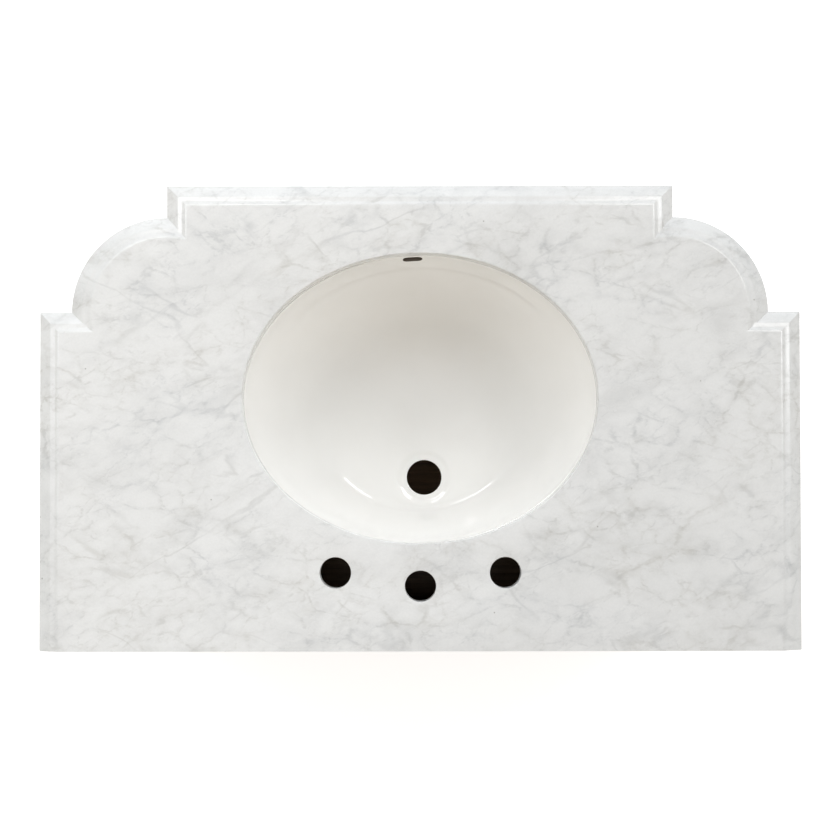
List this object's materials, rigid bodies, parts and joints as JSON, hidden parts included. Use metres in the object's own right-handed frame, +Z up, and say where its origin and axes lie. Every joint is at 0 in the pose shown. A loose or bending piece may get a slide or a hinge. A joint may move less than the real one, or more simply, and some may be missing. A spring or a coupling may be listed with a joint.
{
  "type": "sink chest",
  "caption": "Breakfront sink chest with quarter-round corners, framed doors and a drawer, under a white stone top with an ogee edge and an oval basin hung below its cut-out.",
  "frame": {"origin": "on the floor below the middle of the top", "axes": "+Z up, -Y towards the person who stands in front, +X to that person's right"},
  "size_m": [0.9144, 0.5588, 0.889],
  "materials": {
    "stone": "polished marble",
    "china": "gloss glaze",
    "sealant": "silicone",
    "walnut": "satin lacquer",
    "inner_wood": "clear oil",
    "brass": "aged, polished edges",
    "steel": "zinc plated",
    "plastic": "moulded"
  },
  "bodies": {
    "chest": {"marble_top": "stone", "basin": "china", "basin_seal": "sealant", "basin_clips": "steel", "basin_clip_bolts": "steel", "left_centre_post": "walnut", "right_centre_post": "walnut", "left_corner_panel": "walnut", "right_corner_panel": "walnut", "left_side_panel": "walnut", "right_side_panel": "walnut", "ear_posts": "walnut", "rear_posts": "walnut", "side_rails": "walnut", "partitions": "inner_wood", "back_panel": "inner_wood", "hanging_rail": "inner_wood", "frieze_rail": "walnut", "frieze_front": "walnut", "frieze_bead": "walnut", "mid_rail": "walnut", "cupboard_floor": "inner_wood", "deck": "walnut", "plinth_front": "walnut", "plinth_back": "walnut", "plinth_sides": "walnut", "plinth_returns": "walnut", "plinth_corners": "walnut", "plinth_blocks": "inner_wood", "floor_glides": "plastic", "cornice_bay": "walnut", "cornice_sides": "walnut", "cornice_corners": "walnut", "hinge_case_leaves": "brass", "hinge_pins": "brass", "magnetic_catch": "plastic", "drawer_slide_outer": "steel"},
    "left_door": {"left_door_stiles": "walnut", "left_door_rails": "walnut", "left_door_panel": "walnut", "left_door_bead": "walnut", "left_door_knob": "brass", "left_door_hinge_leaves": "brass", "left_door_strike": "steel"},
    "right_door": {"right_door_stiles": "walnut", "right_door_rails": "walnut", "right_door_panel": "walnut", "right_door_bead": "walnut", "right_door_knob": "brass", "right_door_hinge_leaves": "brass", "right_door_strike": "steel"},
    "drawer": {"drawer_front": "walnut", "drawer_bead": "walnut", "drawer_knobs": "brass", "drawer_sides": "inner_wood", "drawer_back": "inner_wood", "drawer_bottom": "inner_wood", "drawer_slide_inner": "steel"},
    "slide_middle": {"drawer_slide_middle": "steel"}
  },
  "joints": [
    {"name": "left_door_hinge", "type": "hinge", "parent": "chest", "child": "left_door", "pos_m": [-0.2419, -0.258, 0.512], "axis": [0, 0, -1], "range_deg": [0, 120]},
    {"name": "right_door_hinge", "type": "hinge", "parent": "chest", "child": "right_door", "pos_m": [0.2419, -0.258, 0.512], "axis": [0, 0, 1], "range_deg": [0, 120]},
    {"name": "drawer_slide", "type": "slide", "parent": "chest", "child": "drawer", "axis": [0, -1, 0], "range_m": [0, 0.38]},
    {"name": "middle_slide", "type": "slide", "parent": "chest", "child": "slide_middle", "axis": [0, -1, 0], "range_m": [0, 0.19]}
  ],
  "couplings": [
    {"joint": "middle_slide", "follows": "drawer_slide", "ratio": 0.5}
  ]
}
